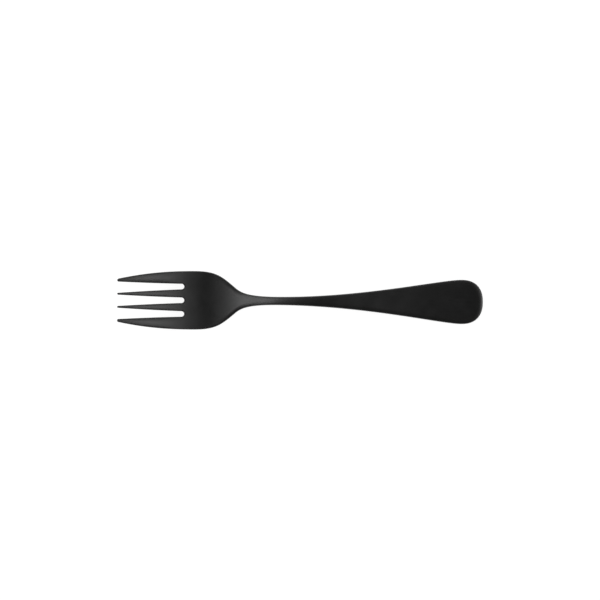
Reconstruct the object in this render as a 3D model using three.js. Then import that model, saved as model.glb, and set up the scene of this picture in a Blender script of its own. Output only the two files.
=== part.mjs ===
// A cake fork of black-coated stainless steel, pressed from one strip: four long tapering
// tines, a lightly dished head, a slim neck and a handle that widens to a round end.
// Millimetres, +Z up. The fork lies on its back with its front face up, tines towards -X and
// handle towards +X. The origin is on the table, under the middle of the fork's length.
// A station is a distance along the fork from the tine tips. Each zone that a cutler names is
// a loft of rounded sections, and neighbouring zones meet face to face at a shared station.

import * as THREE from "three";

// Lengths along the fork, each from the end of the one before
const TINE_LENGTH = 27.0; // tine tips to the round inner ends of the slots
const PALM_LENGTH = 4.4; // slot ends to the widest place of the head
const SHOULDER_LENGTH = 16.35; // widest place to the steepest place of the shoulders
const THROAT_LENGTH = 17.6; // steepest place of the shoulders to the waist
const HANDLE_LENGTH = 75.8; // waist to the widest place of the handle
const END_LENGTH = 8.85; // widest place of the handle to its end

// Widths in plan
const SLOT_MOUTH_WIDTH = 4.59; // between neighbouring tines at their tips
const SLOT_ROOT_WIDTH = 2.25; // at the round inner end of a slot
const SLOT_PINCH = 0.19; // how much narrower than an even taper a slot is half way
const INNER_TIP_WIDTH = 0.76;
const INNER_ROOT_WIDTH = 3.39;
const OUTER_TIP_WIDTH = 1.13;
const OUTER_ROOT_WIDTH = 5.28;
const SHOULDER_WIDTH = 10.84; // where the shoulders are steepest
const WAIST_WIDTH = 3.38; // narrowest place of the neck
const HANDLE_WIDTH = 18.22;

// Thickness of the metal
const TIP_THICKNESS = 0.95;
const HEAD_THICKNESS = 1.7;
const WAIST_THICKNESS = 2.8;
const HANDLE_THICKNESS = 2.1;
const RIM = 0.4; // plan width of the rolled edge
const EDGE_FALL_WIDTH = 2.1; // strip beside an edge in which the front face falls away
const TINE_FALL_FADE = 10.0; // length before the slot ends over which that fall fades
const DISH = 0.3; // how far the sides of the head stand above its middle

// Side view: heights of the back face over the table, and the flats that it rests on
const TIP_RISE = 13.35;
const ARCH_RISE = 5.5;
const ARCH_SETBACK = 15.8; // waist to the top of the arch
const PALM_LOW_SETBACK = 9.15; // widest place of the head to its lowest place
const PALM_FLAT_DEPTH = 0.02; // how deep the rest flat is cut into the round back of the head
const PALM_FLAT_WIDTH = 8.0;
const HANDLE_FLAT_LEAD = 0.15; // the handle's rest flat starts this far before its widest place

// Where the neck starts and ends, from the waist
const NECK_LEAD = 8.85;
const NECK_RUN = 17.15;

// Shape of the curves: slopes, and the share of a stretch that each end's tangent takes up
const TIP_FLARE_SLOPE = 0.224; // of the outer edges at the tips
const TIP_EDGE_SHARE = 0.37;
const PALM_EDGE_SHARE = 0.32;
const SHOULDER_SLOPE = 0.84;
const SHOULDER_IN_SHARE = 0.535;
const SHOULDER_OUT_SHARE = 0.32;
const THROAT_IN_SHARE = 0.125;
const THROAT_OUT_SHARE = 0.75;
const HANDLE_IN_SHARE = 0.467;
const HANDLE_OUT_SHARE = 0.112;
const TINE_SLOPE = 0.33; // of the tines at their tips, in the side view
const CURL_IN_SHARE = 0.323;
const CURL_OUT_SHARE = 0.358;
const CLIMB_IN_SHARE = 0.405;
const CLIMB_OUT_SHARE = 0.57;
const FALL_IN_SHARE = 0.22;
const FALL_OUT_SHARE = 0.407;
const EDGE_FALL_SLOPE = 0.4; // of the front face where it meets a rolled edge
const RIM_SHARE = 0.75; // most of a half section that its rolled edge may take
const END_EXPONENT = 2.36; // of the handle's round end: 2 is an ellipse

// Fineness of the sections and of the lofts
const FACE_STEPS = 8;
const EDGE_STEPS = 4;
const TIP_STEPS = 3;
const TINE_STEPS = 9;
const SLOT_END_STEPS = 5;
const PALM_STEPS = 3;
const SHOULDER_STEPS = 14;
const NECK_STEPS = 12;
const HANDLE_STEPS = 20;
const END_STEPS = 16;
const BISECTIONS = 40;

// Stations that the sizes give
const widestAt = TINE_LENGTH + PALM_LENGTH;
const shoulderAt = widestAt + SHOULDER_LENGTH;
const waistAt = shoulderAt + THROAT_LENGTH;
const handleWidestAt = waistAt + HANDLE_LENGTH;
const overallLength = handleWidestAt + END_LENGTH;
const palmLowAt = widestAt + PALM_LOW_SETBACK;
const archAt = waistAt + ARCH_SETBACK;
const handleFlatStart = handleWidestAt - HANDLE_FLAT_LEAD;
const neckStart = waistAt - NECK_LEAD;
const neckEnd = waistAt + NECK_RUN;

// Half widths that the tines and slots add up to
const tipHalfWidth = 1.5 * SLOT_MOUTH_WIDTH + INNER_TIP_WIDTH + OUTER_TIP_WIDTH;
const headHalfWidth = 1.5 * SLOT_ROOT_WIDTH + INNER_ROOT_WIDTH + OUTER_ROOT_WIDTH;
const slotEndRadius = SLOT_ROOT_WIDTH / 2;
const slotRoundAt = TINE_LENGTH - slotEndRadius;

const { lerp, smoothstep } = THREE.MathUtils;

// Half width of the whole outline against the station, up to the widest place of the handle
const throatLead = THROAT_IN_SHARE * THROAT_LENGTH;
const shoulderLead = SHOULDER_OUT_SHARE * SHOULDER_LENGTH;
const tipEdgeLead = TIP_EDGE_SHARE * widestAt;
const outlineEdge = new THREE.Path()
  .moveTo(0, tipHalfWidth)
  .bezierCurveTo(
    tipEdgeLead,
    tipHalfWidth + TIP_FLARE_SLOPE * tipEdgeLead,
    (1 - PALM_EDGE_SHARE) * widestAt,
    headHalfWidth,
    widestAt,
    headHalfWidth,
  )
  .bezierCurveTo(
    widestAt + SHOULDER_IN_SHARE * SHOULDER_LENGTH,
    headHalfWidth,
    shoulderAt - shoulderLead,
    SHOULDER_WIDTH / 2 + SHOULDER_SLOPE * shoulderLead,
    shoulderAt,
    SHOULDER_WIDTH / 2,
  )
  .bezierCurveTo(
    shoulderAt + throatLead,
    SHOULDER_WIDTH / 2 - SHOULDER_SLOPE * throatLead,
    waistAt - THROAT_OUT_SHARE * THROAT_LENGTH,
    WAIST_WIDTH / 2,
    waistAt,
    WAIST_WIDTH / 2,
  )
  .bezierCurveTo(
    waistAt + HANDLE_IN_SHARE * HANDLE_LENGTH,
    WAIST_WIDTH / 2,
    handleWidestAt - HANDLE_OUT_SHARE * HANDLE_LENGTH,
    HANDLE_WIDTH / 2,
    handleWidestAt,
    HANDLE_WIDTH / 2,
  );

// Height that the back is pressed to against the station: the tines curl up from the palm's low
// place, the neck arches over the table and the end of the handle lies flat on it
const curlLead = CURL_IN_SHARE * palmLowAt;
const throatRun = archAt - palmLowAt;
const handleRun = handleFlatStart - archAt;
const backEdge = new THREE.Path()
  .moveTo(0, TIP_RISE)
  .bezierCurveTo(
    curlLead,
    TIP_RISE - TINE_SLOPE * curlLead,
    (1 - CURL_OUT_SHARE) * palmLowAt,
    -PALM_FLAT_DEPTH,
    palmLowAt,
    -PALM_FLAT_DEPTH,
  )
  .bezierCurveTo(
    palmLowAt + CLIMB_IN_SHARE * throatRun,
    -PALM_FLAT_DEPTH,
    archAt - CLIMB_OUT_SHARE * throatRun,
    ARCH_RISE,
    archAt,
    ARCH_RISE,
  )
  .bezierCurveTo(
    archAt + FALL_IN_SHARE * handleRun,
    ARCH_RISE,
    handleFlatStart - FALL_OUT_SHARE * handleRun,
    0,
    handleFlatStart,
    0,
  )
  .lineTo(overallLength, 0);

// Place between two bounds where a measure that only grows or only falls passes zero
function zeroOf(measure, from, to) {
  const grows = measure(to) > measure(from);
  let low = from;
  let high = to;
  for (let i = 0; i < BISECTIONS; i++) {
    const middle = (low + high) / 2;
    if (measure(middle) > 0 === grows) high = middle;
    else low = middle;
  }
  return (low + high) / 2;
}

// Value of a path at a station, on a path whose stations only grow
function valueAt(path, station) {
  const curve = path.curves.find((c) => station <= c.getPoint(1).x) ?? path.curves.at(-1);
  return curve.getPoint(zeroOf((t) => curve.getPoint(t).x - station, 0, 1)).y;
}

// The palm's rest flat, where its round back would dip under the table
const palmFlatStart = zeroOf((s) => valueAt(backEdge, s), widestAt, palmLowAt);
const palmFlatEnd = zeroOf((s) => valueAt(backEdge, s), palmLowAt, waistAt);

// Quarter-round run-out: 0 at the edge, 1 from a given depth inwards
function runOut(distance, depth) {
  const left = Math.max(0, 1 - distance / depth);
  return Math.sqrt(1 - left * left);
}

function halfWidth(station) {
  if (station <= handleWidestAt) return valueAt(outlineEdge, station);
  const share = Math.min(1, (station - handleWidestAt) / END_LENGTH);
  return (HANDLE_WIDTH / 2) * (1 - share ** END_EXPONENT) ** (1 / END_EXPONENT);
}

// Half width without the handle's round end
function fullHalf(station) {
  return halfWidth(Math.min(station, handleWidestAt));
}

// Distance from the outline, measured across the fork, and in the handle's end along its rays
function edgeDistance(station, y) {
  const along = Math.max(0, station - handleWidestAt) / END_LENGTH;
  const across = Math.abs(y) / fullHalf(station);
  const share = (along ** END_EXPONENT + across ** END_EXPONENT) ** (1 / END_EXPONENT);
  return fullHalf(station) * (1 - share);
}

// Thickness eases from the tips to the head, swells at the waist and settles in the handle
function thickness(station) {
  const head = lerp(TIP_THICKNESS, HEAD_THICKNESS, smoothstep(station, 0, widestAt));
  const waist = lerp(head, WAIST_THICKNESS, smoothstep(station, widestAt, waistAt));
  return lerp(waist, HANDLE_THICKNESS, smoothstep(station, waistAt, handleWidestAt));
}

// How far the front face has fallen at a distance from an edge, in metal of a given half width:
// a parabola over the strip beside the edge. Round the palm the face stays full.
function edgeFall(station, half, distance) {
  const onTines = 1 - smoothstep(station, slotRoundAt - TINE_FALL_FADE, slotRoundAt);
  const onHandle = smoothstep(station, palmLowAt, shoulderAt);
  const strip = Math.min(EDGE_FALL_WIDTH, half);
  const past = Math.max(0, 1 - distance / strip);
  return (onTines + onHandle) * (EDGE_FALL_SLOPE / 2) * strip * past ** 2;
}

// How far the dished head lifts a place above the middle, outside its rest flat
function dishLift(station, y) {
  const fade = 1 - smoothstep(station, palmLowAt, neckStart);
  const flat = PALM_FLAT_WIDTH / 2;
  const side = Math.max(0, Math.abs(y) - flat) / (headHalfWidth - flat);
  return DISH * fade * side * side;
}

// A place in the metal: depth is 0 on the back face and 1 on the front face, which has fallen
// away by a given amount
function place(station, y, depth, fall) {
  const pressed = valueAt(backEdge, station) + dishLift(station, y);
  const back = Math.max(0, pressed);
  const front = pressed + thickness(station) - fall;
  return new THREE.Vector3(station - overallLength / 2, y, lerp(back, front, depth));
}

// A closed section between two edges: front face, right edge, back face, left edge.
// Its places crowd towards the edges. Each edge is rolled over its own rim, body is the share
// of the thickness that is left, and fallAt says how far the front face has fallen.
function section(station, left, right, { leftRim = RIM, rightRim = RIM, body, fallAt }) {
  const most = (RIM_SHARE * (right - left)) / 2;
  const onLeft = Math.min(leftRim, most);
  const onRight = Math.min(rightRim, most);
  const front = [];
  const rightEdge = [];
  const leftEdge = [];
  for (let i = 0; i <= FACE_STEPS; i++) {
    const share = (1 - Math.cos((Math.PI * i) / FACE_STEPS)) / 2;
    front.push([lerp(left + onLeft, right - onRight, share), 1]);
  }
  for (let i = 1; i < EDGE_STEPS; i++) {
    const turn = Math.PI * (0.5 - i / EDGE_STEPS);
    const inset = 1 - Math.cos(turn);
    const height = Math.sin(turn);
    rightEdge.push([right - onRight * inset, height]);
    leftEdge.push([left + onLeft * inset, -height]);
  }
  const back = front.map(([y]) => [y, -1]).reverse();
  return [...front, ...rightEdge, ...back, ...leftEdge].map(([y, height]) =>
    place(station, y, (1 + body * height) / 2, fallAt(y)),
  );
}

// A closed skin over rings of equal count. Each end closes on a point: a tip, or the
// middle of the end ring, which makes a flat face.
function loft(rings, { startTip, endTip } = {}) {
  const count = rings[0].length;
  const middleOf = (ring) =>
    ring.reduce((sum, p) => sum.add(p), new THREE.Vector3()).divideScalar(count);
  const points = [
    ...rings.flat(),
    startTip ?? middleOf(rings[0]),
    endTip ?? middleOf(rings.at(-1)),
  ];
  const startPoint = points.length - 2;
  const endPoint = points.length - 1;
  const lastRing = (rings.length - 1) * count;
  const faces = [];
  for (let i = 0; i < count; i++) {
    const next = (i + 1) % count;
    faces.push(startPoint, i, next);
    faces.push(endPoint, lastRing + next, lastRing + i);
    for (let ring = 0; ring < lastRing; ring += count) {
      const [a, b, c, d] = [ring + i, ring + count + i, ring + count + next, ring + next];
      faces.push(a, b, c, a, c, d);
    }
  }
  const geometry = new THREE.BufferGeometry().setFromPoints(points);
  geometry.setIndex(faces);
  geometry.computeVertexNormals();
  return geometry;
}

// Evenly spaced stations, both ends included
function stations(from, to, steps) {
  return Array.from({ length: steps + 1 }, (_, i) => lerp(from, to, i / steps));
}

// Half width of a slot: its flanks bow in a little on the way to the half circle that ends it
function slotHalfWidth(station) {
  const past = Math.max(0, station - slotRoundAt);
  if (past > 0) return Math.sqrt(Math.max(0, slotEndRadius ** 2 - past ** 2));
  const share = station / slotRoundAt;
  const bow = 4 * share * (1 - share);
  return (lerp(SLOT_MOUTH_WIDTH, SLOT_ROOT_WIDTH, share) - SLOT_PINCH * bow) / 2;
}

// Middle line of a slot: -1 is the left one, 0 the middle one and 1 the right one
function slotMiddle(slot, station) {
  const pitchAtTips = SLOT_MOUTH_WIDTH + INNER_TIP_WIDTH;
  const pitchAtRoots = SLOT_ROOT_WIDTH + INNER_ROOT_WIDTH;
  return slot * lerp(pitchAtTips, pitchAtRoots, station / TINE_LENGTH);
}

// A tine between the slots on its two sides, where null is the outline of the fork.
// Its tip is a half circle, and its rolled edges run out in the round ends of the slots.
function tine(leftSlot, rightSlot) {
  const isOuter = leftSlot === null || rightSlot === null;
  const tipRadius = (isOuter ? OUTER_TIP_WIDTH : INNER_TIP_WIDTH) / 2;
  const leftAt = (s) =>
    leftSlot === null ? -halfWidth(s) : slotMiddle(leftSlot, s) + slotHalfWidth(s);
  const rightAt = (s) =>
    rightSlot === null ? halfWidth(s) : slotMiddle(rightSlot, s) - slotHalfWidth(s);
  const ringAt = (s) => {
    const body = runOut(s, tipRadius);
    const middle = (leftAt(s) + rightAt(s)) / 2;
    const half = (body * (rightAt(s) - leftAt(s))) / 2;
    const slotRim = Math.min(RIM, (RIM * slotHalfWidth(s)) / slotEndRadius);
    return section(s, middle - half, middle + half, {
      leftRim: leftSlot === null ? RIM : slotRim,
      rightRim: rightSlot === null ? RIM : slotRim,
      body,
      fallAt: (y) => edgeFall(s, half, half - Math.abs(y - middle)),
    });
  };
  const tipStations = stations(0, Math.PI / 2, TIP_STEPS)
    .slice(1)
    .map((turn) => tipRadius * (1 - Math.cos(turn)));
  const shankStations = stations(tipRadius, slotRoundAt, TINE_STEPS).slice(1);
  const rootStations = stations(0, Math.PI / 2, SLOT_END_STEPS)
    .slice(1)
    .map((turn) => slotRoundAt + slotEndRadius * Math.sin(turn));
  const rings = [...tipStations, ...shankStations, ...rootStations].map(ringAt);
  const startTip = place(0, (leftAt(0) + rightAt(0)) / 2, 0.5, edgeFall(0, tipRadius, 0));
  return loft(rings, { startTip });
}

// A full-width section of the fork
function fullSection(station) {
  const half = halfWidth(station);
  const body = runOut(overallLength - station, RIM);
  const fallAt = (y) => edgeFall(station, fullHalf(station), edgeDistance(station, y));
  return section(station, -half, half, { body, fallAt });
}

// The head: from the slot ends over its widest place and the rest flat to the shoulders
function head() {
  const palmStations = stations(TINE_LENGTH, widestAt, PALM_STEPS);
  const bowlStations = stations(widestAt, palmFlatStart, PALM_STEPS).slice(1);
  const shoulderStations = stations(palmFlatEnd, neckStart, SHOULDER_STEPS);
  const rings = [...palmStations, ...bowlStations, palmLowAt, ...shoulderStations];
  return loft(rings.map(fullSection));
}

function neck() {
  return loft(stations(neckStart, neckEnd, NECK_STEPS).map(fullSection));
}

// The handle: its round end closes on a point in the middle of the rolled edge
function handle() {
  const endStations = stations(0, Math.PI / 2, END_STEPS)
    .slice(1, -1)
    .map((turn) => handleWidestAt + END_LENGTH * Math.sin(turn));
  const rings = [
    ...stations(neckEnd, handleFlatStart, HANDLE_STEPS),
    handleWidestAt,
    ...endStations,
  ].map(fullSection);
  const endFall = edgeFall(overallLength, fullHalf(overallLength), 0);
  return loft(rings, { endTip: place(overallLength, 0, 0.5, endFall) });
}

// Satin black coating over the whole fork
function blackCoating() {
  return new THREE.MeshStandardMaterial({ color: 0x1d1d1d, roughness: 0.42, metalness: 0.85 });
}

const fork = new THREE.Group();
const zones = {
  outer_tine_left: tine(null, -1),
  inner_tine_left: tine(-1, 0),
  inner_tine_right: tine(0, 1),
  outer_tine_right: tine(1, null),
  head: head(),
  neck: neck(),
  handle: handle(),
};
for (const [name, geometry] of Object.entries(zones)) {
  const mesh = new THREE.Mesh(geometry, blackCoating());
  mesh.name = name;
  fork.add(mesh);
}

export default fork;
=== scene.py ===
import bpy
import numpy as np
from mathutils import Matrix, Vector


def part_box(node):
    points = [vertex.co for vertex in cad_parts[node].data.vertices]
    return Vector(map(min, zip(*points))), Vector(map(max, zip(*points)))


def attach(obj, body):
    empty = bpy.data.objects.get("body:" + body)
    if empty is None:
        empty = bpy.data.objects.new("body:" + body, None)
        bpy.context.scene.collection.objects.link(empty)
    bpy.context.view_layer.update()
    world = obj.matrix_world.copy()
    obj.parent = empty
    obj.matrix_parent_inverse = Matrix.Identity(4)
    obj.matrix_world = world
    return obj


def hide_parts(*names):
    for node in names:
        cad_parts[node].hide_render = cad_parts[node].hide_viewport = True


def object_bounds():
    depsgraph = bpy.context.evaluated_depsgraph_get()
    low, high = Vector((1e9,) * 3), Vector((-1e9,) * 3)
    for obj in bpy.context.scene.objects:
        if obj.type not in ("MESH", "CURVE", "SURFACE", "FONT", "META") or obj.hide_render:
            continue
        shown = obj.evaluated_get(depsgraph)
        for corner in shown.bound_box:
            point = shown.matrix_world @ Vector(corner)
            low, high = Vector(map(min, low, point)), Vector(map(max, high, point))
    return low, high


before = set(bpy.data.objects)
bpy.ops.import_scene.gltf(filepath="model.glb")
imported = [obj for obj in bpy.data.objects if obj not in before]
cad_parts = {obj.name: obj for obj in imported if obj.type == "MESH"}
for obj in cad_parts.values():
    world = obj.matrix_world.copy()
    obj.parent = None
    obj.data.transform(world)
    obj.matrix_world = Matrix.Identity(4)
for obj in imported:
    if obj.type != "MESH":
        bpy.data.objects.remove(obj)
CAD_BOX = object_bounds()

# A small fork pressed from one strip of steel and coated satin black. Its whole skin is one
# closed surface: a front face, a back face and the rolled edge that runs round all four tines.
# Metres throughout. A station is a distance along the fork from the tine tips, towards +X.

MM = 0.001

# Sizes that the frame gives
TIPS_X = CAD_BOX[0][0]
LENGTH = CAD_BOX[1][0] - TIPS_X
TABLE_Z = CAD_BOX[0][2]
TINE_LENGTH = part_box("inner_tine_left")[1][0] - TIPS_X
HANDLE_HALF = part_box("handle")[1][1]

# Stations of the outline and of the side view
WIDEST_AT = TINE_LENGTH + 4.4 * MM
SHOULDER_AT = WIDEST_AT + 16.35 * MM
WAIST_AT = SHOULDER_AT + 17.6 * MM
HANDLE_WIDEST_AT = LENGTH - 8.85 * MM
PALM_LOW_AT = WIDEST_AT + 9.15 * MM
ARCH_AT = WAIST_AT + 15.8 * MM
HANDLE_FLAT_AT = HANDLE_WIDEST_AT - 0.15 * MM
NECK_AT = WAIST_AT - 8.85 * MM

# Widths of tines and slots in plan, and half widths of the outline
SLOT_MOUTH = 4.59 * MM
SLOT_ROOT = 2.25 * MM
SLOT_PINCH = 0.19 * MM
INNER_TIP = 0.76 * MM
INNER_ROOT = 3.39 * MM
OUTER_TIP = 1.13 * MM
OUTER_ROOT = 5.28 * MM
TIP_HALF = 1.5 * SLOT_MOUTH + INNER_TIP + OUTER_TIP
HEAD_HALF = 1.5 * SLOT_ROOT + INNER_ROOT + OUTER_ROOT
SHOULDER_HALF = 5.42 * MM
WAIST_HALF = 1.69 * MM
PALM_FLAT_HALF = 4.0 * MM
SLOT_ROUND_AT = TINE_LENGTH - SLOT_ROOT / 2

# Thickness of the metal, rolled edge and dish
TIP_THICKNESS = 0.95 * MM
HEAD_THICKNESS = 1.7 * MM
WAIST_THICKNESS = 2.8 * MM
HANDLE_THICKNESS = 2.1 * MM
EDGE_FALL_WIDTH = 2.1 * MM
TINE_FALL_FADE = 10.0 * MM
RIM = 0.4 * MM
RIM_SHARE = 0.75
DISH = 0.3 * MM

# Heights of the back face over the table, and how deep the palm's rest flat is cut
TIP_RISE = 13.35 * MM
ARCH_RISE = 5.5 * MM
PALM_FLAT_DEPTH = 0.02 * MM

# Shape of the curves: slopes, and the share of a stretch that each end's tangent takes up
TIP_FLARE_SLOPE = 0.224
TIP_EDGE_SHARE = 0.37
PALM_EDGE_SHARE = 0.32
SHOULDER_SLOPE = 0.84
SHOULDER_IN_SHARE = 0.535
SHOULDER_OUT_SHARE = 0.32
THROAT_IN_SHARE = 0.125
THROAT_OUT_SHARE = 0.75
HANDLE_IN_SHARE = 0.467
HANDLE_OUT_SHARE = 0.112
TINE_SLOPE = 0.33
CURL_IN_SHARE = 0.323
CURL_OUT_SHARE = 0.358
CLIMB_IN_SHARE = 0.405
CLIMB_OUT_SHARE = 0.57
FALL_IN_SHARE = 0.22
FALL_OUT_SHARE = 0.407
EDGE_FALL_SLOPE = 0.4
END_EXPONENT = 2.36

# The slots beside each tine, from left to right, where None is the fork's outline
TINE_SLOTS = ((None, -1), (-1, 0), (0, 1), (1, None))

# Fineness of the skin
TIP_ROWS = 4
SHANK_ROWS = 56
SLOT_END_ROWS = 8
TINE_ROWS = TIP_ROWS + SHANK_ROWS + SLOT_END_ROWS
BODY_ROWS = 210
END_ROWS = 26
TINE_COLUMNS = 12
RIM_STEPS = 12
CURVE_STEPS = 1200
SHANK_CROWDING = 1.3
TIP_TURN = np.radians(60)
END_TURN = np.radians(12)
QUARTER = np.pi / 2

# Finish of the coating: the size of each pattern, and the range that takes up most of its noise
BLASTED_GRAIN = 0.22 * MM
BRUSHING_WIDTH = 0.18 * MM
BRUSHING_LENGTH = 9.0 * MM
CLOUD_SIZE = 5.0 * MM
FINE_DETAIL = 2
CLOUD_DETAIL = 3
NOISE_LOW = 0.3
NOISE_HIGH = 0.7

# Finish of the coating: base colour, roughness and depth of the grain
DARK_BLACK = 0.0035
LIGHT_BLACK = 0.0045
SMOOTH_ROUGHNESS = 0.365
DULL_ROUGHNESS = 0.405
BRUSHED_ROUGHNESS = 0.02
ROLLED_EDGE_ROUGHNESS = 0.25
BRUSHED_SHARE = 0.6
GRAIN_STRENGTH = 0.25
GRAIN_DEPTH = 0.01 * MM

# Floor: how far it reaches, how far it lies under the fork, and its lit and its even white
FLOOR_REACH = 6.0
FLOOR_DROP = 0.02 * MM
FLOOR_PAINT = 0.2
FLOOR_GLOW = 0.9

# Room: white up to one height, dim from another, both measured towards the dim patch overhead
ROOM_WHITE = 0.9
ROOM_DIM = 0.02
WHITE_UP_TO = 0.12
DIM_FROM = 0.72
DIM_PATCH = (0, -0.26, 0.97)

# Camera, for a square frame that shows the fork at the photograph's scale
FRAME_PIXELS = 600
PIXEL = 0.4108 * MM
LENS = 200.0
SENSOR = 36.0
CAMERA_LEAN = np.radians(0.96)
CAMERA_ROLL = np.radians(0.37)
CAMERA_AIM = Vector((-0.36 * MM, 0.45 * MM, 5.0 * MM))


def curve(*corners):
    """A cubic curve from its first to its last corner, pulled towards the two between them."""
    t = np.linspace(0, 1, CURVE_STEPS)[:, None]
    a, b, c, d = np.array(corners)
    return (1 - t) ** 3 * a + 3 * (1 - t) ** 2 * t * b + 3 * (1 - t) * t**2 * c + t**3 * d


def outline_curve():
    """Half width against station from the tips to the handle's widest place: four cubic
    stretches that meet at the head's widest place, the shoulders and the waist."""
    tip_lead = TIP_EDGE_SHARE * WIDEST_AT
    shoulder_run = SHOULDER_AT - WIDEST_AT
    shoulder_lead = SHOULDER_OUT_SHARE * shoulder_run
    throat_run = WAIST_AT - SHOULDER_AT
    throat_lead = THROAT_IN_SHARE * throat_run
    handle_run = HANDLE_WIDEST_AT - WAIST_AT
    tips = (0, TIP_HALF)
    widest = (WIDEST_AT, HEAD_HALF)
    shoulder = (SHOULDER_AT, SHOULDER_HALF)
    waist = (WAIST_AT, WAIST_HALF)
    handle = (HANDLE_WIDEST_AT, HANDLE_HALF)
    return np.concatenate([
        curve(tips,
              (tip_lead, TIP_HALF + TIP_FLARE_SLOPE * tip_lead),
              ((1 - PALM_EDGE_SHARE) * WIDEST_AT, HEAD_HALF),
              widest),
        curve(widest,
              (WIDEST_AT + SHOULDER_IN_SHARE * shoulder_run, HEAD_HALF),
              (SHOULDER_AT - shoulder_lead, SHOULDER_HALF + SHOULDER_SLOPE * shoulder_lead),
              shoulder),
        curve(shoulder,
              (SHOULDER_AT + throat_lead, SHOULDER_HALF - SHOULDER_SLOPE * throat_lead),
              (WAIST_AT - THROAT_OUT_SHARE * throat_run, WAIST_HALF),
              waist),
        curve(waist,
              (WAIST_AT + HANDLE_IN_SHARE * handle_run, WAIST_HALF),
              (HANDLE_WIDEST_AT - HANDLE_OUT_SHARE * handle_run, HANDLE_HALF),
              handle),
    ])


def back_curve():
    """Height of the back face against station: the tines curl up from the palm's low place, the
    neck arches over the table and the handle comes down to the flat of its end."""
    curl_lead = CURL_IN_SHARE * PALM_LOW_AT
    throat_run = ARCH_AT - PALM_LOW_AT
    handle_run = HANDLE_FLAT_AT - ARCH_AT
    low = -PALM_FLAT_DEPTH
    return np.concatenate([
        curve((0, TIP_RISE),
              (curl_lead, TIP_RISE - TINE_SLOPE * curl_lead),
              ((1 - CURL_OUT_SHARE) * PALM_LOW_AT, low),
              (PALM_LOW_AT, low)),
        curve((PALM_LOW_AT, low),
              (PALM_LOW_AT + CLIMB_IN_SHARE * throat_run, low),
              (ARCH_AT - CLIMB_OUT_SHARE * throat_run, ARCH_RISE),
              (ARCH_AT, ARCH_RISE)),
        curve((ARCH_AT, ARCH_RISE),
              (ARCH_AT + FALL_IN_SHARE * handle_run, ARCH_RISE),
              (HANDLE_FLAT_AT - FALL_OUT_SHARE * handle_run, 0),
              (HANDLE_FLAT_AT, 0)),
    ])


OUTLINE = outline_curve()
BACK = back_curve()


def half_width(station):
    """Half width of the outline, read off its curve."""
    return np.interp(station, OUTLINE[:, 0], OUTLINE[:, 1])


def eased(station, start, end):
    """0 before start, 1 after end, with a soft rise between: three u squared less two u cubed."""
    u = np.clip((station - start) / (end - start), 0, 1)
    return u * u * (3 - 2 * u)


def slot_middle(slot, station):
    """Middle line of slot -1, 0 or 1: the pitch widens a little from the tips to the roots."""
    at_tips = SLOT_MOUTH + INNER_TIP
    at_roots = SLOT_ROOT + INNER_ROOT
    return slot * (at_tips + (at_roots - at_tips) * station / TINE_LENGTH)


def tine_edge(slot, side, station):
    """One edge of a tine: the flank of the slot beside it, a taper that bows in by a parabola,
    or the fork's outline where there is no slot. Side is -1 for left and 1 for right."""
    if slot is None:
        return side * half_width(station)
    share = station / SLOT_ROUND_AT
    width = SLOT_MOUTH + (SLOT_ROOT - SLOT_MOUTH) * share - SLOT_PINCH * 4 * share * (1 - share)
    return slot_middle(slot, station) - side * width / 2


def thickness(station):
    """Metal thickness on the middle line: thin tips, a full waist and a slimmer handle."""
    head = TIP_THICKNESS + (HEAD_THICKNESS - TIP_THICKNESS) * eased(station, 0, WIDEST_AT)
    waist = head + (WAIST_THICKNESS - head) * eased(station, WIDEST_AT, WAIST_AT)
    return waist + (HANDLE_THICKNESS - waist) * eased(station, WAIST_AT, HANDLE_WIDEST_AT)


def fall_beside(half, distance):
    """How far the front face has fallen at a distance from an edge: a parabola over a strip
    beside the edge, no wider than half the metal and everywhere as steep at the edge."""
    strip = np.minimum(EDGE_FALL_WIDTH, half)
    past = np.clip(1 - distance / strip, 0, 1)
    return EDGE_FALL_SLOPE / 2 * strip * past**2


def tine_fall(station, y):
    """Fall of the front face on the tines, from the nearer edge of the tine that holds a place."""
    near = np.minimum(station, SLOT_ROUND_AT)
    left = np.stack([tine_edge(slot, -1, near) for slot, _ in TINE_SLOTS])
    right = np.stack([tine_edge(slot, 1, near) for _, slot in TINE_SLOTS])
    distance = np.minimum(y - left, right - y)
    own = np.argmax(distance, 0)[None]
    half = np.take_along_axis((right - left) / 2, own, 0)[0]
    return fall_beside(half, np.take_along_axis(distance, own, 0)[0])


def outline_fall(station, y):
    """Fall of the front face beside the fork's outline. The distance is taken across the fork,
    and in the handle's end along the rays of its superellipse."""
    half = half_width(station)
    along = np.maximum(0, station - HANDLE_WIDEST_AT) / (LENGTH - HANDLE_WIDEST_AT)
    share = (along**END_EXPONENT + (np.abs(y) / half) ** END_EXPONENT) ** (1 / END_EXPONENT)
    return fall_beside(half, half * (1 - share))


def edge_fall(station, y):
    """Fall of the front face beside the edges of the tines, and from the shoulders on beside
    the outline. Round the palm the face stays full."""
    on_tines = 1 - eased(station, SLOT_ROUND_AT - TINE_FALL_FADE, SLOT_ROUND_AT)
    on_handle = eased(station, PALM_LOW_AT, SHOULDER_AT)
    return on_tines * tine_fall(station, y) + on_handle * outline_fall(station, y)


def pressed_height(station, y):
    """Height that the back is pressed to: the side view's curve, and the head's dish outside
    its flat, which grows with the square of the distance."""
    fade = 1 - eased(station, PALM_LOW_AT, NECK_AT)
    side = np.maximum(0, np.abs(y) - PALM_FLAT_HALF) / (HEAD_HALF - PALM_FLAT_HALF)
    return np.interp(station, BACK[:, 0], BACK[:, 1]) + DISH * fade * side**2


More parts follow.
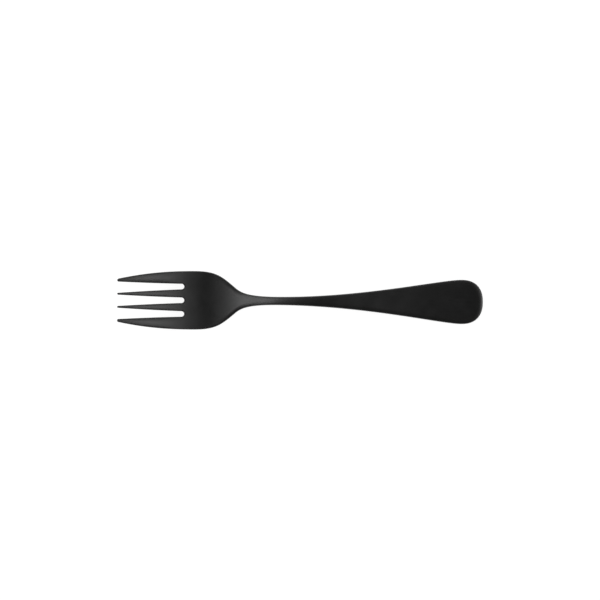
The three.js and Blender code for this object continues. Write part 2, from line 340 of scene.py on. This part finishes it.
def skin(plan, turn):
    """Points of the skin over plan places, between the back, which is flat where it would dip
    under the table, and the front, which lies a thickness over the pressed height. The share
    between them is half of one plus the sine of the turn: a quarter turn is the front face,
    minus a quarter the back."""
    station, y = plan[..., 0], plan[..., 1]
    pressed = pressed_height(station, y)
    back = np.maximum(0, pressed)
    front = pressed + thickness(station) - edge_fall(station, y)
    height = TABLE_Z + back + (front - back) * (1 + np.sin(turn)) / 2
    return np.stack([station + TIPS_X, y, height], -1)


def tine_outline(left_slot, right_slot):
    """Left edge, right edge and tip of a tine as plan places. The tip is half an ellipse across
    the two edges. An edge has rows from the tip's flank down the shank, and then round a quarter
    of the slot's end, or on along the fork's outline."""
    tip = OUTER_TIP if left_slot is None or right_slot is None else INNER_TIP
    tip_radius = tip / 2
    along = np.linspace(0, 1, SHANK_ROWS + 1)[1:] ** SHANK_CROWDING
    shank = tip_radius + (SLOT_ROUND_AT - tip_radius) * along
    turn = np.linspace(0, QUARTER, SLOT_END_ROWS + 1)[1:]

    def tip_at(angle):
        station = tip_radius * (1 - np.cos(angle))
        left = tine_edge(left_slot, -1, station)
        right = tine_edge(right_slot, 1, station)
        return np.stack([station, (left + right + (right - left) * np.sin(angle)) / 2], -1)

    def edge_rows(slot, side):
        flank = tip_at(side * np.linspace(TIP_TURN, QUARTER, TIP_ROWS + 1))
        radius = SLOT_ROOT / 2 + (RIM if slot is None else 0)
        root = SLOT_ROUND_AT + radius * np.sin(turn)
        if slot is None:
            root_y = side * half_width(root)
        else:
            root_y = slot_middle(slot, TINE_LENGTH) - side * radius * np.cos(turn)
        straight = np.stack([shank, tine_edge(slot, side, shank)], -1)
        return np.concatenate([flank, straight, np.stack([root, root_y], -1)])

    tip_row = tip_at(np.linspace(-TIP_TURN, TIP_TURN, TINE_COLUMNS + 1))
    return edge_rows(left_slot, -1), edge_rows(right_slot, 1), tip_row


def handle_end(angle):
    """The handle's round end, a superellipse: powers of the cosine along and the sine across.
    The angle is 0 at the very end and a quarter turn at the widest place."""
    power = 2 / END_EXPONENT
    along = np.abs(np.cos(angle)) ** power
    across = np.sign(angle) * np.abs(np.sin(angle)) ** power
    reach = LENGTH - HANDLE_WIDEST_AT
    return np.stack([HANDLE_WIDEST_AT + reach * along, HANDLE_HALF * across], -1)


def body_outline():
    """Left and right edge behind the slots, row by row to the handle's end, and its last row."""
    start = SLOT_ROUND_AT + SLOT_ROOT / 2 + RIM
    station = np.linspace(start, HANDLE_WIDEST_AT, BODY_ROWS + 1)
    angle = np.linspace(QUARTER, END_TURN, END_ROWS + 1)[1:]
    right = np.concatenate([np.stack([station, half_width(station)], -1), handle_end(angle)])
    left = right * (1, -1)
    last_row = handle_end(np.linspace(-END_TURN, END_TURN, 4 * TINE_COLUMNS + 1))
    return left, right, last_row


def inward(loop):
    """Unit directions into the metal along a closed loop that runs clockwise in plan: the
    chord between a place's two neighbours, turned a quarter to the right."""
    chord = np.roll(loop, -1, 0) - np.roll(loop, 1, 0)
    across = np.stack([chord[:, 1], -chord[:, 0]], -1)
    return across / np.linalg.norm(across, axis=1, keepdims=True)


def quads(ids):
    """Four-cornered faces between neighbouring rows and columns of a grid of point numbers."""
    corners = [ids[:-1, :-1], ids[1:, :-1], ids[1:, 1:], ids[:-1, 1:]]
    return np.stack(corners, -1).reshape(-1, 4)


def fork_skin():
    """Points, faces and edge shares of the fork's closed skin. The edge loop runs once round
    the fork and all its slots. Moved inwards by the rim, it bounds the flat faces, whose rows
    are straight lines from edge to edge. The rolled edge is half an ellipse carried along it."""
    columns = 4 * TINE_COLUMNS
    rows = BODY_ROWS + END_ROWS + 1
    body_ids = np.arange(rows * (columns + 1)).reshape(rows, columns + 1)
    body_left, body_right, last_row = body_outline()
    body_rim = np.full(rows, RIM)
    loop, loop_ids, loop_rim = [body_left[:0:-1]], [body_ids[:0:-1, 0]], [body_rim[1:]]
    tine_ids = []
    for k, (left_slot, right_slot) in enumerate(TINE_SLOTS):
        left, right, tip_row = tine_outline(left_slot, right_slot)
        first = body_ids.size + k * TINE_ROWS * (TINE_COLUMNS + 1)
        own = first + np.arange(TINE_ROWS * (TINE_COLUMNS + 1)).reshape(TINE_ROWS, -1)
        shared = body_ids[:1, k * TINE_COLUMNS : (k + 1) * TINE_COLUMNS + 1]
        ids = np.concatenate([own, shared])
        tine_ids.append(ids)
        half = np.linalg.norm(right - left, axis=1) / 2
        rim = np.minimum(RIM, RIM_SHARE * np.maximum(half, half[TIP_ROWS]))
        from_row = TINE_ROWS if left_slot is None else TINE_ROWS - 1
        loop += [left[from_row::-1], tip_row[1:-1], right]
        loop_ids += [ids[from_row::-1, 0], ids[0, 1:-1], ids[:, -1]]
        loop_rim += [rim[from_row::-1], np.full(TINE_COLUMNS - 1, rim[0]), rim]
    loop = np.concatenate([*loop, body_right[1:], last_row[-2:0:-1]])
    loop_ids = np.concatenate([*loop_ids, body_ids[1:, -1], body_ids[-1, -2:0:-1]])
    loop_rim = np.concatenate([*loop_rim, body_rim[1:], np.full(columns - 1, RIM)])
    inner = loop + inward(loop) * loop_rim[:, None]

    plan = np.zeros((body_ids.size + 4 * TINE_ROWS * (TINE_COLUMNS + 1), 2))
    plan[loop_ids] = inner

    def rule(ids):
        share = np.linspace(0, 1, ids.shape[1])[None, 1:-1, None]
        left, right = plan[ids[:, :1]], plan[ids[:, -1:]]
        plan[ids[:, 1:-1]] = left + (right - left) * share

    rule(body_ids[1:-1])
    for ids in tine_ids:
        rule(ids[1:])

    turns = np.linspace(QUARTER, -QUARTER, RIM_STEPS + 1)[1:-1, None]
    rolled = inner + (loop - inner) * np.cos(turns)[..., None]
    points = np.concatenate([
        skin(plan, QUARTER),
        skin(plan, -QUARTER),
        skin(rolled, turns).reshape(-1, 3),
    ])
    count = len(plan)
    ring_ids = 2 * count + np.arange(rolled.shape[0] * len(loop)).reshape(rolled.shape[0], -1)
    rings = np.concatenate([loop_ids[None], ring_ids, loop_ids[None] + count])
    rings = np.concatenate([rings, rings[:, :1]], 1)
    front = np.concatenate([quads(body_ids), *[quads(ids) for ids in tine_ids]])
    faces = np.concatenate([front, front[:, ::-1] + count, quads(rings)[:, ::-1]])
    edge_rings = np.broadcast_to(np.cos(turns), rolled.shape[:2])
    edge = np.concatenate([np.zeros(2 * count), edge_rings.ravel()])
    return points, faces, edge


def build_fork(coating):
    """The fork as one mesh piece at the origin, with its share of rolled edge as an attribute."""
    points, faces, edge = fork_skin()
    mesh = bpy.data.meshes.new("fork")
    mesh.from_pydata(points.tolist(), [], faces.tolist())
    mesh.polygons.foreach_set("use_smooth", np.ones(len(faces), bool))
    rolled_edge = mesh.attributes.new("rolled_edge", "FLOAT", "POINT")
    rolled_edge.data.foreach_set("value", edge.astype(np.float32))
    mesh.materials.append(coating)
    mesh.update()
    fork = bpy.data.objects.new("fork", mesh)
    bpy.context.scene.collection.objects.link(fork)
    return fork


def black_coating():
    """Satin black coating: a fine blasted grain, faint brushing along the fork, cloudy patches
    where the finish is a little smoother, and a duller rolled edge."""
    material = bpy.data.materials.new("satin_black_coating")
    material.use_nodes = True
    nodes, links = material.node_tree.nodes, material.node_tree.links
    shader = nodes["Principled BSDF"]
    shader.inputs["Metallic"].default_value = 0.0
    place = nodes.new("ShaderNodeTexCoord")

    def noise(width, length, detail):
        stretch = nodes.new("ShaderNodeMapping")
        stretch.inputs["Scale"].default_value = (width / length, 1, 1)
        pattern = nodes.new("ShaderNodeTexNoise")
        pattern.inputs["Scale"].default_value = 1 / width
        pattern.inputs["Detail"].default_value = detail
        links.new(place.outputs["Object"], stretch.inputs["Vector"])
        links.new(stretch.outputs["Vector"], pattern.inputs["Vector"])
        return pattern.outputs["Fac"]

    def ranged(value, low, high):
        spread = nodes.new("ShaderNodeMapRange")
        spread.inputs["From Min"].default_value = NOISE_LOW
        spread.inputs["From Max"].default_value = NOISE_HIGH
        spread.inputs["To Min"].default_value = low
        spread.inputs["To Max"].default_value = high
        links.new(value, spread.inputs["Value"])
        return spread.outputs["Result"]

    def summed(a, b):
        add = nodes.new("ShaderNodeMath")
        add.operation = "ADD"
        links.new(a, add.inputs[0])
        links.new(b, add.inputs[1])
        return add.outputs["Value"]

    blasted = noise(BLASTED_GRAIN, BLASTED_GRAIN, FINE_DETAIL)
    brushed = noise(BRUSHING_WIDTH, BRUSHING_LENGTH, FINE_DETAIL)
    cloudy = noise(CLOUD_SIZE, CLOUD_SIZE, CLOUD_DETAIL)

    tint = nodes.new("ShaderNodeValToRGB")
    shades = ((NOISE_LOW, DARK_BLACK), (NOISE_HIGH, LIGHT_BLACK))
    for stop, (position, black) in zip(tint.color_ramp.elements, shades):
        stop.position = position
        stop.color = (black, black, black, 1)
    links.new(cloudy, tint.inputs["Fac"])
    links.new(tint.outputs["Color"], shader.inputs["Base Color"])

    rolled_edge = nodes.new("ShaderNodeAttribute")
    rolled_edge.attribute_name = "rolled_edge"
    edge_dulling = nodes.new("ShaderNodeMath")
    edge_dulling.operation = "MULTIPLY"
    edge_dulling.inputs[1].default_value = ROLLED_EDGE_ROUGHNESS
    links.new(rolled_edge.outputs["Fac"], edge_dulling.inputs[0])
    face_roughness = summed(
        ranged(cloudy, SMOOTH_ROUGHNESS, DULL_ROUGHNESS),
        ranged(brushed, -BRUSHED_ROUGHNESS, BRUSHED_ROUGHNESS),
    )
    roughness = summed(face_roughness, edge_dulling.outputs["Value"])
    links.new(roughness, shader.inputs["Roughness"])

    grain = summed(ranged(blasted, 0, 1), ranged(brushed, 0, BRUSHED_SHARE))
    bump = nodes.new("ShaderNodeBump")
    bump.inputs["Strength"].default_value = GRAIN_STRENGTH
    bump.inputs["Distance"].default_value = GRAIN_DEPTH
    links.new(grain, bump.inputs["Height"])
    links.new(bump.outputs["Normal"], shader.inputs["Normal"])
    return material


def pale_floor():
    """A wide white floor just under the fork. Camera, mirror and see-through rays get most of
    its white as an even glow, and the rest is lit, so that the fork's shadow stays."""
    material = bpy.data.materials.new("pale_floor")
    material.use_nodes = True
    nodes, links = material.node_tree.nodes, material.node_tree.links
    nodes.clear()
    paint = nodes.new("ShaderNodeBsdfDiffuse")
    paint.inputs["Color"].default_value = (FLOOR_PAINT, FLOOR_PAINT, FLOOR_PAINT, 1)
    rays = nodes.new("ShaderNodeLightPath")
    seen = rays.outputs["Is Camera Ray"]
    for kind in ("Is Glossy Ray", "Is Transmission Ray"):
        either = nodes.new("ShaderNodeMath")
        either.operation = "MAXIMUM"
        links.new(seen, either.inputs[0])
        links.new(rays.outputs[kind], either.inputs[1])
        seen = either.outputs["Value"]
    level = nodes.new("ShaderNodeMath")
    level.operation = "MULTIPLY"
    level.inputs[1].default_value = FLOOR_GLOW
    links.new(seen, level.inputs[0])
    glow = nodes.new("ShaderNodeEmission")
    links.new(level.outputs["Value"], glow.inputs["Strength"])
    both = nodes.new("ShaderNodeAddShader")
    links.new(paint.outputs["BSDF"], both.inputs[0])
    links.new(glow.outputs["Emission"], both.inputs[1])
    output = nodes.new("ShaderNodeOutputMaterial")
    links.new(both.outputs["Shader"], output.inputs["Surface"])

    signs = ((-1, -1), (1, -1), (1, 1), (-1, 1))
    corners = [(x * FLOOR_REACH, y * FLOOR_REACH, TABLE_Z - FLOOR_DROP) for x, y in signs]
    mesh = bpy.data.meshes.new("floor")
    mesh.from_pydata(corners, [], [(0, 1, 2, 3)])
    mesh.materials.append(material)
    floor = bpy.data.objects.new("floor", mesh)
    bpy.context.scene.collection.objects.link(floor)


def softbox(name, azimuth, lean, away, across, along, watts):
    """A flat lamp that faces the fork from a direction, degrees round from +X and degrees from
    straight overhead, and from a distance. Its sides run across the fork and along it."""
    turn, tilt = np.radians(azimuth), np.radians(lean)
    direction = Vector((np.cos(turn) * np.sin(tilt), np.sin(turn) * np.sin(tilt), np.cos(tilt)))
    lamp = bpy.data.lights.new(name, "AREA")
    lamp.shape = "RECTANGLE"
    lamp.size = across
    lamp.size_y = along
    lamp.energy = watts
    box = bpy.data.objects.new(name, lamp)
    box.location = away * direction
    box.rotation_euler = direction.to_track_quat("Z", "Y").to_euler()
    box.visible_camera = False
    bpy.context.scene.collection.objects.link(box)


def soft_boxes():
    """A strip of soft box near the tines, and a large square one far beyond the handle."""
    softbox("tine_side_box", azimuth=171, lean=35.2, away=0.46, across=0.48, along=0.15, watts=1.12)
    softbox("handle_side_box", azimuth=0, lean=62, away=2.0, across=1.5, along=1.5, watts=31.5)


def dim_topped_room():
    """A white room that dims towards its ceiling. The dim patch leans to the -Y side."""
    world = bpy.data.worlds.new("room")
    world.use_nodes = True
    nodes, links = world.node_tree.nodes, world.node_tree.links
    direction = nodes.new("ShaderNodeTexCoord")
    height = nodes.new("ShaderNodeVectorMath")
    height.operation = "DOT_PRODUCT"
    height.inputs[1].default_value = DIM_PATCH
    links.new(direction.outputs["Generated"], height.inputs[0])
    wall = nodes.new("ShaderNodeValToRGB")
    shades = ((WHITE_UP_TO, ROOM_WHITE), (DIM_FROM, ROOM_DIM))
    for stop, (position, grey) in zip(wall.color_ramp.elements, shades):
        stop.position = position
        stop.color = (grey, grey, grey, 1)
    links.new(height.outputs["Value"], wall.inputs["Fac"])
    links.new(wall.outputs["Color"], nodes["Background"].inputs["Color"])
    bpy.context.scene.world = world


def overhead_camera():
    """A long lens straight above, leaning a little to the +Y side, as in the photograph."""
    distance = LENS * FRAME_PIXELS * PIXEL / SENSOR
    away = Vector((0, np.sin(CAMERA_LEAN), np.cos(CAMERA_LEAN)))
    up = Vector((0, np.cos(CAMERA_LEAN), -np.sin(CAMERA_LEAN)))
    along = Vector((1, 0, 0))
    right = np.cos(CAMERA_ROLL) * along + np.sin(CAMERA_ROLL) * up
    top = np.cos(CAMERA_ROLL) * up - np.sin(CAMERA_ROLL) * along
    data = bpy.data.cameras.new("overhead")
    data.lens = LENS
    data.sensor_width = SENSOR
    camera = bpy.data.objects.new("overhead", data)
    axes = Matrix((right, top, away)).transposed().to_4x4()
    camera.matrix_world = Matrix.Translation(CAMERA_AIM + away * distance) @ axes
    bpy.context.scene.collection.objects.link(camera)
    bpy.context.scene.camera = camera


fork = build_fork(black_coating())
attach(fork, "root")
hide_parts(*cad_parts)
pale_floor()
soft_boxes()
dim_topped_room()
overhead_camera()
bpy.context.scene.view_settings.view_transform = "Standard"
